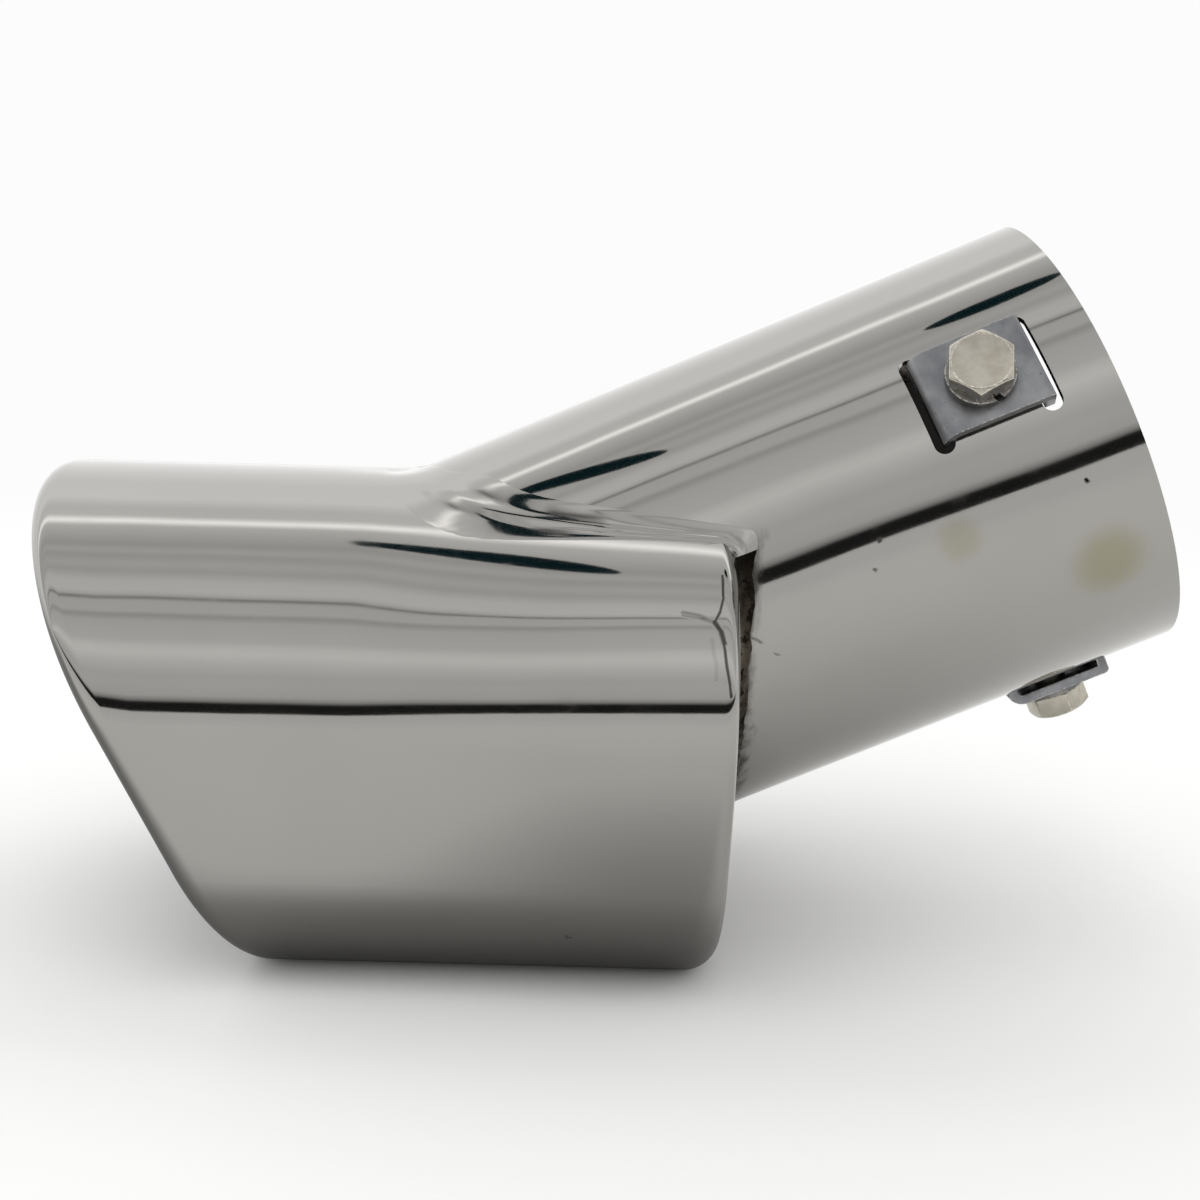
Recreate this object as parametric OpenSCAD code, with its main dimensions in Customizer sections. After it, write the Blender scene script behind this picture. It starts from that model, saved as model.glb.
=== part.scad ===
// Exhaust tip: a round inlet tube that climbs out of a flat-bottomed oval
// outlet, with three bolted clips which bite on the tailpipe inside it.
// The origin is the centre of the tube's open end, where the tailpipe enters.
// X runs from the outlet's mouth towards the inlet, and Z is up.

/* [Inlet tube] */
// Outside diameter of the inlet tube
tube_od = 80; // [76:0.5:84]
// Sheet thickness of the inlet tube
tube_wall = 1.5; // [1.2:0.1:2]
// Angle at which the tube climbs towards its open end
tube_rise = 23.9; // [22:0.1:26]
// Height of the open end's centre above the ground
inlet_height = 93.3; // [91:0.1:97]
// Play between the tube and the hole that it is welded into
joint_gap = 0.1; // [0.05:0.05:0.3]
// How far the tube stands through the outlet's wall, on the inside
tube_stand_in = 1; // [0.5:0.1:3]

/* [Outlet section] */
// Height of the outlet from its flat bottom to its crown
outlet_height = 83.2; // [80:0.1:87]
// Radius of the crown
crown_r = 56; // [52:0.5:60]
// Radius of the shoulders beside the crown
shoulder_r = 47.5; // [44:0.5:51]
// Radius with which the shoulders turn into the sides
haunch_r = 32; // [28:0.5:36]
// Radius of the two bottom corners
corner_r = 20; // [14:0.5:26]
// Slope of the surface where the crown passes into the shoulder
crown_end = 61; // [55:1:66]
// Slope of the surface where the shoulder passes into the haunch
shoulder_end = 38; // [32:1:44]
// Sheet thickness of the outlet
outlet_wall = 1.5; // [1.2:0.1:2]

/* [Outlet length] */
// Distance from the open end's centre back to the rear wall
rear_setback = 65.2; // [62:0.5:68]
// Distance from the open end's centre to the top of the slanted mouth
mouth_setback = 189.8; // [183:0.5:196]
// Slant of the mouth from the upright, longer at the top
mouth_slant = 27.6; // [21:0.1:31]
// Radius of the lip that is rolled in around the mouth
lip_r = 4.5; // [3:0.1:5.5]
// Rounding between the rear wall and the top and sides
rear_edge_r = 2.5; // [2:0.1:4]
// Rounding between the rear wall and the bottom
rear_heel_r = 6; // [4:0.5:9]
// How far the shoulders swell upwards beside the tube
shoulder_swell = 4.5; // [3:0.1:6]
// Length over which that swelling grows, from before the tube's foot
swell_run = 25; // [20:1:35]
// How far each side flares out at the rear wall, above its lower half
rear_flare = 9; // [6:0.5:10]

/* [Weld] */
// Reach of the ground weld along the tube, above the crown
ground_weld = 5.5; // [4.5:0.5:7]
// Height of the ground weld above the tube's surface
ground_weld_height = 2.4; // [2:0.1:3]
// Leg of the rough weld bead on the rear wall
rough_weld = 3.4; // [2.5:0.1:4.5]
// Depth of the ripples in the rough weld
weld_ripple = 0.35; // [0.1:0.05:0.5]
// Gap behind the weld, measured along the tube
weld_gap = 0.5; // [0.2:0.05:0.6]

/* [Clips] */
// Distance of the bolts from the tube's open end
bolt_setback = 20.2; // [19:0.1:24]
// Distance between the middles of a clip's two slots
slot_pitch = 18.4; // [17.5:0.1:20]
// Width of a slot
slot_width = 3.5; // [3.2:0.1:4]
// Length of a slot around the tube
slot_length = 18; // [17.5:0.1:20]
// Width of a clip around the tube
clip_width = 15.6; // [14:0.1:16]
// Sheet thickness of a clip
clip_wall = 1.8; // [1.5:0.1:2]
// Gap between a clip's bridge and the tube
clip_gap = 0.8; // [0.7:0.1:1.2]
// Play between a leg and the inner side of its slot
leg_play = 0.3; // [0.2:0.05:0.5]
// Outer radius of the bend towards the outlet
clip_bend_r = 3; // [2.2:0.1:3.5]
// Outer radius of the bend towards the open end
clip_edge_r = 0.9; // [0.5:0.1:1.5]

/* [Bolts] */
// Thread diameter of the bolts
bolt_d = 6; // [5.5:0.5:6.5]
// Width across the flats of a bolt's head
bolt_flats = 10; // [9:0.5:10.5]
// Height of a bolt's head
bolt_head = 4; // [3.5:0.1:4.5]
// Radial play of the bolt in its tapped hole
thread_play = 0.05; // [0.03:0.01:0.1]
// Radial play of the bolt in the clip
clip_hole_play = 0.3; // [0.2:0.05:0.5]
// Radial play of the bolt in its spring washer
washer_play = 0.1; // [0.08:0.01:0.2]
// Thickness of a spring washer
washer_h = 1.6; // [1.4:0.1:1.8]
// Width of a spring washer's ring
washer_w = 2.6; // [2:0.1:2.8]
// Opening cut through a spring washer
washer_split = 1; // [0.6:0.1:1.4]
// Turn of the first bolt's flats from the tube's direction
bolt_turn_1 = 6; // [0:1:59]
// Turn of the second bolt's flats from the tube's direction
bolt_turn_2 = 21; // [0:1:59]
// Turn of the third bolt's flats from the tube's direction
bolt_turn_3 = 40; // [0:1:59]

/* [Hidden] */

$fn = 96;
// Reach of a cut past the face that it opens
over = 1;
ground = -inlet_height;
tube_r = tube_od / 2;
bore_r = tube_r - tube_wall;
rear_x = -rear_setback;
clip_angles = [-60, 180, 60];
bolt_turns = [bolt_turn_1, bolt_turn_2, bolt_turn_3];

// Steps of the outlet's outline: one every few degrees of its slope
slope_step = 4.5;
corner_step = 11.25;
// Steps of the rolled lip and of the rounding at the rear
lip_steps = 8;
edge_steps = 4;
// Steps of the swelling shoulders
swell_steps = 10;
// Steps around the weld, across its face and down its back
weld_turns = 120;
weld_face_steps = 4;
weld_back_steps = 3;

// How far the swelling starts before the tube's foot, and the share of the
// shoulder's height over which it grows
swell_lead = 6;
swell_full = 0.75;
// How far past the tube's highest foot the hole and the tube itself are made
hole_reach = 4;
tube_reach = 12;
// How far up the shoulders nothing of the tube is left inside, as a share
tube_clear = 0.1;
// Inside rounding left at the rear edge, at least
least_edge_r = 0.4;
// Distance from the sloping top, as a share of the height above it
slope_factor = 0.85;
// Where a foot is looked for along the tube, as shares of the highest foot
foot_near = 0.4;
foot_far = 1.13;
foot_far_top = 0.17;
// Where around the tube the ground weld begins, and how soon it is whole
ground_from = 0.12;
ground_fade = 0.25;
// How full the weld's face is, ground and rough
ground_bulge = 0.08;
rough_bulge = 0.45;
// Ripples of the rough weld: waves around the tube, share and phase
ripple_waves = [[23, 1, 0], [41, 0.6, 50], [67, 0.5, 0]];
ripple_shift = 9;
// Where a washer's split stands, and its lean
split_turn = -70;
split_lean = 25;
// Radius of a bolt head's flat face, as a share of half its flats
head_face = 0.95;

function polar(r, a) = [r * cos(a), r * sin(a)];
function clamp01(v) = max(0, min(1, v));
function smooth(v) = let (c = clamp01(v)) c * c * (3 - 2 * c);

// Centres of the arcs that make the outline, each tangent to the one before
crown_c = [0, outlet_height - crown_r];
shoulder_c = crown_c + polar(crown_r - shoulder_r, crown_end);
haunch_c = shoulder_c + polar(shoulder_r - haunch_r, shoulder_end);
half_width = haunch_c[0] + haunch_r;
corner_c = [half_width - corner_r, corner_r];

// Where the tube's highest line meets the crown
meet_x = -(inlet_height + tube_r / cos(tube_rise) - outlet_height) / tan(tube_rise);
swell_start_x = meet_x - swell_lead;
tube_meet = -meet_x * cos(tube_rise) + (inlet_height - outlet_height) * sin(tube_rise);

// Outline: right half from the crown down, as [y, z, slope of the surface]
function upper_point(a) =
    a > crown_end ? crown_c + polar(crown_r, a)
    : a > shoulder_end ? shoulder_c + polar(shoulder_r, a)
    : haunch_c + polar(haunch_r, a);
half_outline = concat(
    [for (i = [0 : 90 / slope_step])
        let (a = 90 - i * slope_step, p = upper_point(a)) [p[0], p[1], a]],
    [for (i = [0 : 90 / corner_step])
        let (a = -i * corner_step, p = corner_c + polar(corner_r, a)) [p[0], p[1], a]]);
half_count = len(half_outline);
outline = concat(half_outline,
    [for (i = [half_count - 1 : -1 : 1])
        let (q = half_outline[i]) [-q[0], q[1], 180 - q[2]]]);

// Towards the rear the shoulders swell up beside the tube and the sides flare
function swell_share(z) =
    smooth((z - haunch_c[1]) / (outlet_height - haunch_c[1]) / swell_full);
function flare_share(z) = smooth(z / haunch_c[1]);
function lift(x, z) =
    shoulder_swell * smooth((x - swell_start_x) / swell_run) * swell_share(z);
function widening(x, z) =
    1 + rear_flare / half_width * flare_share(z)
    * smooth((x - swell_start_x) / (rear_x - swell_start_x));

// One point of the outlet's sheet: outline point q, moved in by inset, at x
function sheet_point(q, inset, x) =
    [x, q[0] * widening(x, q[1]) - inset * cos(q[2]),
     ground + q[1] + lift(x, q[1]) - inset * sin(q[2])];
function sheet_ring(inset, x) = [for (q = outline) sheet_point(q, inset, x)];

// Rings that lie behind the slanted plane of the mouth
function mouth_x(height) =
    -mouth_setback + (outlet_height - height) * tan(mouth_slant);
function mouth_ring(inset, behind) =
    [for (q = outline)
        let (height = q[1] - inset * sin(q[2]))
        sheet_point(q, inset, mouth_x(height) + behind / cos(mouth_slant))];

// Rings of the rounding at the rear, whose radius grows towards the bottom
function edge_radius(q) =
    rear_edge_r + (rear_heel_r - rear_edge_r) * smooth(1 - q[1] / haunch_c[1]);
function rear_ring(t, inset, a) =
    [for (q = outline)
        let (r = max(edge_radius(q) - t, least_edge_r))
        sheet_point(q, t + inset + r * (1 - sin(a)), rear_x - t - inset - r * (1 - cos(a)))];

body_end_x = rear_x - rear_heel_r - 2;
body_xs = [for (i = [0 : swell_steps])
    body_end_x + (swell_start_x - body_end_x) * i / swell_steps];

function ring_wall(n, rings) = [for (j = [0 : rings - 2], i = [0 : n - 1], half = [0, 1])
    let (k = (i + 1) % n, a = j * n + i, b = j * n + k, c = a + n, d = b + n)
    half == 0 ? [a, b, c] : [b, d, c]];

// A closed skin through rings of equal count, capped flat at both ends
module loft(rings) {
    n = len(rings[0]);
    m = len(rings);
    polyhedron(
        points = [for (r = rings) for (p = r) p],
        faces = concat(
            ring_wall(n, m),
            [[for (i = [n - 1 : -1 : 0]) i]],
            [[for (i = [0 : n - 1]) (m - 1) * n + i]]));
}

function outer_rings() = concat(
    [for (i = [0 : edge_steps]) rear_ring(0, 0, 90 * i / edge_steps)],
    [for (x = body_xs) sheet_ring(0, x)],
    [for (i = [0 : lip_steps])
        let (a = 180 * i / lip_steps)
        mouth_ring(lip_r * (1 - cos(a)), lip_r * (1 - sin(a)))]);
function inner_rings(t) = concat(
    [for (i = [0 : lip_steps])
        let (a = 180 - 180 * i / lip_steps)
        mouth_ring(lip_r - (lip_r - t) * cos(a), lip_r - (lip_r - t) * sin(a))],
    [for (i = [swell_steps : -1 : 0]) sheet_ring(t, body_xs[i])],
    [for (i = [edge_steps : -1 : 0]) rear_ring(t, 0, 90 * i / edge_steps)]);

// The space inside the outlet, moved in by a margin
module cavity(margin) {
    t = outlet_wall + margin;
    loft(concat(
        [sheet_ring(t, swell_start_x - 3 * lip_r)],
        [for (i = [swell_steps : -1 : 0]) sheet_ring(t, body_xs[i])],
        [rear_ring(outlet_wall, margin, 90), rear_ring(outlet_wall, margin, 45),
         rear_ring(outlet_wall, margin, 0)]));
}

// The tube's own frame: its axis is X, and its open end is at the origin
module in_tube_frame() {
    rotate([0, -tube_rise, 0]) children();
}

module tube_bar(r, from, to) {
    in_tube_frame() translate([-to, 0, 0]) rotate([0, 90, 0])
        cylinder(r = r, h = to - from);
}

// A clip's frame: Z points out of the tube along the bolt
module at_clip(k) {
    in_tube_frame() translate([-bolt_setback, 0, 0])
        rotate([-clip_angles[k], 0, 0]) children();
}

// Slots that the legs pass through
module slots() {
    half = slot_length / 2 - slot_width / 2;
    for (side = [-1, 1])
        translate([side * slot_pitch / 2, 0, bore_r / 2]) {
            translate([-slot_width / 2, -half, 0])
                cube([slot_width, 2 * half, tube_r]);
            for (end = [-1, 1])
                translate([0, end * half, 0])
                    cylinder(d = slot_width, h = tube_r);
        }
}

module outlet_shell() {
    color("silver") difference() {
        loft(concat(outer_rings(), inner_rings(outlet_wall)));
        tube_bar(tube_r + joint_gap, 0, tube_meet + hole_reach);
    }
}

// The space inside the rear wall, up to the foot of the shoulders
module inner_block() {
    top = haunch_c[1] + tube_clear * (outlet_height - haunch_c[1]);
    translate([rear_x - outlet_wall - tube_stand_in - mouth_setback, -tube_od, ground - tube_od])
        cube([mouth_setback, 2 * tube_od, tube_od + top]);
}

module inlet_tube() {
    color("gainsboro") difference() {
        tube_bar(tube_r, 0, tube_meet + tube_reach);
        tube_bar(bore_r, -over, tube_meet + tube_reach + over);
        cavity(tube_stand_in);
        inner_block();
        for (k = [0 : 2])
            at_clip(k) {
                slots();
                translate([0, 0, bore_r / 2])
                    cylinder(d = bolt_d + 2 * thread_play, h = tube_r);
            }
    }
}

// Height of the outlet's outer surface over the line y, before it sinks
function surface_height(y) =
    y < crown_r * cos(crown_end) ? crown_c[1] + sqrt(crown_r ^ 2 - y ^ 2)
    : y < (shoulder_c + polar(shoulder_r, shoulder_end))[0]
        ? shoulder_c[1] + sqrt(shoulder_r ^ 2 - (y - shoulder_c[0]) ^ 2)
    : y < half_width ? haunch_c[1] + sqrt(haunch_r ^ 2 - (y - haunch_c[0]) ^ 2)
    : haunch_c[1];

// Distance of a point outside the outlet, rounded at the rear edge
function outside(p) =
    let (x = min(p[0], rear_x), wide = widening(x, outlet_height),
         h = surface_height(abs(p[1]) / wide),
         up = (p[2] - ground - h - lift(x, h)) * slope_factor,
         back = p[0] - rear_x,
         r = rear_edge_r)
    up > -r && back > -r ? norm([up + r, back + r]) - r : max(up, back);

// A point at distance s down the tube, at radius r, turned by a from its top
function tube_point(s, r, a) =
    let (w = r * cos(a))
    [-s * cos(tube_rise) - w * sin(tube_rise), r * sin(a),
     -s * sin(tube_rise) + w * cos(tube_rise)];
// Where a line along the tube enters the outlet
function foot(r, a, near, far, n = 22) =
    n == 0 ? near
    : let (mid = (near + far) / 2)
      outside(tube_point(mid, r, a)) > 0 ? foot(r, a, mid, far, n - 1)
      : foot(r, a, near, mid, n - 1);
function foot_of(r, a) =
    foot(r, a, tube_meet * foot_near, tube_meet * (foot_far + foot_far_top * cos(a)));

// The weld is ground smooth over the crown and left as a rough bead behind
function ground_share(a) = smooth((cos(a) - ground_from) / ground_fade);
function ripple_height(a, i = 0) =
    i == len(ripple_waves) ? 0
    : let (w = ripple_waves[i]) w[1] * sin(a * w[0] + w[2]) + ripple_height(a, i + 1);
function ripple(a, rough) = rough * weld_ripple * ripple_height(a);
function weld_ring(a) =
    let (share = ground_share(a), rough = 1 - share,
         r0 = tube_r + joint_gap,
         leg = share * ground_weld + rough * rough_weld + ripple(a, rough),
         rise = share * ground_weld_height + rough * rough_weld + ripple(a + ripple_shift, rough),
         s0 = foot_of(r0, a) - weld_gap,
         s1 = foot_of(r0 + rise, a) - weld_gap,
         bulge = share * ground_bulge + rough * rough_bulge)
    concat(
        [for (i = [0 : weld_face_steps])
            let (t = i / weld_face_steps, u = 1 - t,
                 cs = s0 - bulge * leg, cr = r0 + bulge * rise,
                 s = u * u * (s0 - leg) + 2 * u * t * cs + t * t * s1,
                 r = u * u * r0 + 2 * u * t * cr + t * t * (r0 + rise))
            tube_point(s, r, a)],
        [for (i = [weld_back_steps - 1 : -1 : 0])
            let (r = r0 + rise * i / weld_back_steps)
            tube_point(foot_of(r, a) - weld_gap, r, a)]);

module weld_seam() {
    rings = [for (i = [0 : weld_turns - 1]) weld_ring(360 * i / weld_turns)];
    n = len(rings[0]);
    color("dimgray") polyhedron(
        points = [for (r = rings) for (p = r) p],
        faces = [for (j = [0 : weld_turns - 1], i = [0 : n - 1], half = [0, 1])
            let (k = (i + 1) % n, m = (j + 1) % weld_turns,
                 a = j * n + i, b = j * n + k, c = m * n + i, d = m * n + k)
            half == 0 ? [a, c, b] : [b, c, d]]);
}

// Side view of a clip: its bridge, its two bends and its two legs
bridge_low = tube_r + clip_gap;
bridge_top = bridge_low + clip_wall;
leg_in = slot_pitch / 2 - slot_width / 2 + leg_play;
leg_out = leg_in + clip_wall;
module clip_side() {
    difference() {
        union() {
            translate([-leg_out + clip_bend_r, bore_r])
                square([2 * leg_out - clip_bend_r - clip_edge_r, bridge_top - bore_r]);
            translate([-leg_out, bore_r])
                square([2 * leg_out, bridge_top - bore_r - clip_bend_r]);
            translate([0, bore_r])
                square([leg_out, bridge_top - bore_r - clip_edge_r]);
            translate([-leg_out + clip_bend_r, bridge_top - clip_bend_r])
                circle(r = clip_bend_r);
            translate([leg_out - clip_edge_r, bridge_top - clip_edge_r])
                circle(r = clip_edge_r);
        }
        difference() {
            translate([-leg_in, bore_r - over])
                square([2 * leg_in, bridge_low - bore_r + over]);
            translate([-leg_in, bridge_low - (clip_bend_r - clip_wall)])
                difference() {
                    square(clip_bend_r - clip_wall);
                    translate([clip_bend_r - clip_wall, 0])
                        circle(r = clip_bend_r - clip_wall);
                }
        }
        translate([-leg_out - over, bore_r - clip_bend_r])
            square([2 * (leg_out + over), clip_bend_r]);
    }
}

module clamp_clip(k) {
    color("slategray") at_clip(k) difference() {
        translate([0, clip_width / 2, 0]) rotate([90, 0, 0])
            linear_extrude(clip_width) clip_side();
        translate([0, 0, bore_r])
            cylinder(d = bolt_d + 2 * clip_hole_play, h = bridge_top);
    }
}

module spring_washer(k) {
    inner = bolt_d / 2 + washer_play;
    color("dimgray") at_clip(k) translate([0, 0, bridge_top]) difference() {
        cylinder(r = inner + washer_w, h = washer_h);
        translate([0, 0, -over]) cylinder(r = inner, h = washer_h + 2 * over);
        rotate([0, 0, split_turn]) translate([0, -washer_split / 2, -over])
            rotate([split_lean, 0, 0]) cube([2 * inner + washer_w, washer_split, 3 * washer_h]);
    }
}

module clamp_bolt(k) {
    corner = bolt_flats / 2 / cos(30);
    face_r = bolt_flats / 2 * head_face;
    chamfer = (corner - face_r) * tan(30);
    under = bridge_top + washer_h;
    color("tan") at_clip(k) {
        translate([0, 0, bore_r]) cylinder(d = bolt_d, h = under + bolt_head / 2 - bore_r);
        rotate([0, 0, bolt_turns[k]]) translate([0, 0, under]) intersection() {
            cylinder(r = corner, h = bolt_head, $fn = 6);
            union() {
                cylinder(r = corner + over, h = bolt_head - chamfer);
                translate([0, 0, bolt_head - chamfer])
                    cylinder(r1 = corner, r2 = face_r, h = chamfer);
            }
        }
    }
}

outlet_shell();
inlet_tube();
weld_seam();
clamp_clip(0);  // clamp_clip_1
clamp_clip(1);  // clamp_clip_2
clamp_clip(2);  // clamp_clip_3
spring_washer(0);  // spring_washer_1
spring_washer(1);  // spring_washer_2
spring_washer(2);  // spring_washer_3
clamp_bolt(0);  // clamp_bolt_1
clamp_bolt(1);  // clamp_bolt_2
clamp_bolt(2);  // clamp_bolt_3
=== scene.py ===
"""Looks of the exhaust tip: polished sheet steel, its welds, clips and bolts.

The tube climbs out of a flat-bottomed oval outlet and carries three bolted
clips. Lengths are in millimetres until a mesh is finished, then in metres.
"""

import logging
import math
from dataclasses import dataclass, field
from enum import Enum
from typing import Any, Callable, Sequence

import bmesh
import bpy
from mathutils import Matrix, Vector, noise
from mathutils.bvhtree import BVHTree


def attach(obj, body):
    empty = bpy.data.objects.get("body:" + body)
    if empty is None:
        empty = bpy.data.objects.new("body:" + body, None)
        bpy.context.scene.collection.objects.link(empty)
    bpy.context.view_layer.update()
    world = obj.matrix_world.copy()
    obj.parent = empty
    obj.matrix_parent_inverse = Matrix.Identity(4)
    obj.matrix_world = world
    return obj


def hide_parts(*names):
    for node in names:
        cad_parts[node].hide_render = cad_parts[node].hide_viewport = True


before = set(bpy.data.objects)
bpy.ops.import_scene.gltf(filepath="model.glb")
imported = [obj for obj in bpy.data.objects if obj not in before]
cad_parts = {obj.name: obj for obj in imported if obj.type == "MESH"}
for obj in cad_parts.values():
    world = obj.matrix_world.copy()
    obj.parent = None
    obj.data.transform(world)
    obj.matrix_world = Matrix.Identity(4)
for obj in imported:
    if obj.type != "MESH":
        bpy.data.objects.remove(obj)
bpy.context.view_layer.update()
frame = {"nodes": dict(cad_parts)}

LOG = logging.getLogger("exhaust_tip")
MM = 0.001
# distance in metres within which points of a solid are one
MERGE = 2e-6

Point = tuple[float, float, float]
Row = Callable[[Point], Vector]


class Side(Enum):
    """Which stretch of the seam a piece of weld covers."""

    GROUND = "ground"
    ROUGH = "rough"


def clamp01(value: float) -> float:
    """Returns the value held between 0 and 1."""
    return max(0.0, min(1.0, value))


def smooth(value: float) -> float:
    """Returns a soft step from 0 to 1."""
    c = clamp01(value)
    return c * c * (3 - 2 * c)


def between(start: float, end: float, share: float) -> float:
    """Returns the place at a share of the way from start to end."""
    return start + (end - start) * share


@dataclass(frozen=True)
class TipSizes:
    """The driving sizes of the tip, in millimetres.

    They are the solids' own, but for the swelling, the flare and the
    fullness, which bend the reflections as the photograph does.
    """

    tube_r: float = 40.0
    tube_rise: float = math.radians(23.9)
    inlet_height: float = 93.3
    joint_gap: float = 0.1
    outlet_height: float = 83.2
    crown_r: float = 56.0
    shoulder_r: float = 47.5
    haunch_r: float = 32.0
    corner_r: float = 20.0
    crown_end: float = 61.0
    shoulder_end: float = 38.0
    wall: float = 1.5
    rear_setback: float = 65.2
    mouth_setback: float = 189.8
    mouth_slant: float = math.radians(27.6)
    lip_r: float = 4.5
    rear_edge_r: float = 2.5
    rear_heel_r: float = 6.0
    shoulder_swell: float = 3.6
    swell_run: float = 60.0
    notch_depth: float = 1.2
    notch_reach: float = 9.0
    swell_lead: float = 6.0
    swell_full: float = 0.75
    rear_flare: float = 9.8
    flare_height: float = 57.0
    flare_power: float = 0.9
    shoulder_fill: float = 2.4
    fill_from: float = 60.0
    fill_whole: float = 33.0
    fill_height: float = 40.0
    fill_fade: float = 0.45
    fill_power: float = 1.36
    hole_reach: float = 4.0

    @property
    def rear_x(self) -> float:
        """Place of the flat rear wall."""
        return -self.rear_setback

    @property
    def ground(self) -> float:
        """Height of the surface that the tip stands on."""
        return -self.inlet_height

    @property
    def meet_x(self) -> float:
        """Where the tube's highest line meets the crown."""
        above = self.inlet_height + self.tube_r / math.cos(self.tube_rise)
        return -(above - self.outlet_height) / math.tan(self.tube_rise)

    @property
    def tube_meet(self) -> float:
        """Distance down the tube of the place where it meets the crown."""
        drop = self.inlet_height - self.outlet_height
        return (-self.meet_x * math.cos(self.tube_rise)
                + drop * math.sin(self.tube_rise))

    @property
    def swell_start_x(self) -> float:
        """Where the shoulders begin to swell."""
        return self.meet_x - self.swell_lead

    @property
    def axis(self) -> Vector:
        """Direction in which the tube climbs."""
        return Vector((math.cos(self.tube_rise), 0, math.sin(self.tube_rise)))

    def centres(self) -> tuple[Vector, Vector, Vector]:
        """Centres of the crown's, the shoulder's and the haunch's arcs."""
        crown = Vector((0, self.outlet_height - self.crown_r))
        shoulder = crown + self.polar(self.crown_r - self.shoulder_r,
                                      self.crown_end)
        haunch = shoulder + self.polar(self.shoulder_r - self.haunch_r,
                                       self.shoulder_end)
        return crown, shoulder, haunch

    @staticmethod
    def polar(radius: float, degrees: float) -> Vector:
        """Point at a radius and an angle."""
        a = math.radians(degrees)
        return Vector((radius * math.cos(a), radius * math.sin(a)))

    @property
    def haunch_z(self) -> float:
        """Height of the haunch's centre above the ground."""
        return self.centres()[2].y

    @property
    def half_width(self) -> float:
        """Half of the outlet's width before it flares."""
        return self.centres()[2].x + self.haunch_r

    def outline(self, step: float = 1.5, corner_step: float = 5.0,
                side_parts: int = 8, base_parts: int = 4) -> list[Point]:
        """Outline of the outlet seen along X, clockwise from the crown.

        Args:
            step: degrees of slope between two points of the upper arcs.
            corner_step: the same on the lower corners.
            side_parts: number of parts of the upright side.
            base_parts: number of parts of half of the flat base.

        Returns:
            Points as (y, height, slope in degrees).
        """
        crown, shoulder, haunch = self.centres()
        right: list[Point] = []
        for i in range(round(90 / step) + 1):
            a = 90 - i * step
            if a > self.crown_end:
                p = crown + self.polar(self.crown_r, a)
            elif a > self.shoulder_end:
                p = shoulder + self.polar(self.shoulder_r, a)
            else:
                p = haunch + self.polar(self.haunch_r, a)
            right.append((p.x, p.y, a))
        side = self.corner_r - self.haunch_z
        for i in range(1, side_parts):
            right.append((self.half_width,
                          self.haunch_z + side * i / side_parts, 0.0))
        corner = Vector((self.half_width - self.corner_r, self.corner_r))
        for i in range(round(90 / corner_step) + 1):
            p = corner + self.polar(self.corner_r, -corner_step * i)
            right.append((p.x, p.y, -corner_step * i))
        for i in range(1, base_parts + 1):
            right.append((corner.x * (1 - i / base_parts), 0.0, -90.0))
        left = [(-y, z, 180 - a) for y, z, a in right[-2:0:-1]]
        return right + left

    def lift(self, x: float, y: float, z: float) -> float:
        """How far the sheet is raised: a swelling, notched before the tube."""
        rise = self.outlet_height - self.haunch_z
        share = smooth((z - self.haunch_z) / rise / self.swell_full)
        past = x - self.swell_start_x
        notch = self.notch_depth * smooth(
            1 - math.hypot(past - self.swell_lead, y) / self.notch_reach)
        return share * (self.shoulder_swell * smooth(past / self.swell_run)
                        - notch)

    def widening(self, x: float, z: float) -> float:
        """Factor by which the sides flare at a place."""
        along = smooth(self.along(x)) ** self.flare_power
        return (1 + self.rear_flare / self.half_width
                * smooth(z / self.flare_height) * along)

    def along(self, x: float) -> float:
        """Share of the way from the tube's foot to the rear wall."""
        return clamp01((x - self.swell_start_x)
                       / (self.rear_x - self.swell_start_x))

    def fullness(self, q: Point, x: float) -> float:
        """How far the shoulder at outline point q is beaten outwards."""
        lean = q[2] if q[0] >= 0 else 180 - q[2]
        span = self.fill_from - self.fill_whole
        share = smooth((self.fill_from - lean) / span)
        share *= 1 - self.fill_fade * smooth(
            (self.fill_whole - lean) / self.fill_whole)
        low = smooth(q[1] / self.fill_height)
        return (self.shoulder_fill * share * low
                * self.along(x) ** self.fill_power)

    def sheet_point(self, q: Point, inset: float, x: float) -> Vector:
        """A point of the sheet, moved in from outline point q, at x."""
        a = math.radians(q[2])
        out = self.fullness(q, x) - inset
        y = q[0] * self.widening(x, q[1])
        return Vector((
            x, y + out * math.cos(a),
            self.ground + q[1] + self.lift(x, y, q[1]) + out * math.sin(a)))

    def mouth_x(self, height: float) -> float:
        """Place of the slanted mouth at a height above the ground."""
        return (-self.mouth_setback
                + (self.outlet_height - height) * math.tan(self.mouth_slant))

    def edge_radius(self, q: Point) -> float:
        """Rounding between the rear wall and the outline point q."""
        more = self.rear_heel_r - self.rear_edge_r
        return self.rear_edge_r + more * smooth(1 - q[1] / self.haunch_z)

    def tube_point(self, s: float, r: float, a: float) -> Vector:
        """A point at s down the tube, at radius r, turned by a from its top."""
        w = r * math.cos(a)
        c, n = math.cos(self.tube_rise), math.sin(self.tube_rise)
        return Vector((-s * c - w * n, r * math.sin(a), -s * n + w * c))


SIZES = TipSizes()


def linear(hex_colour: str) -> tuple[float, float, float, float]:
    """Turns an sRGB hex colour into the linear one that a shader takes."""
    parts = [int(hex_colour[i:i + 2], 16) / 255 for i in (1, 3, 5)]
    return (*(p / 12.92 if p <= 0.04045 else ((p + 0.055) / 1.055) ** 2.4
              for p in parts), 1.0)


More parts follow.
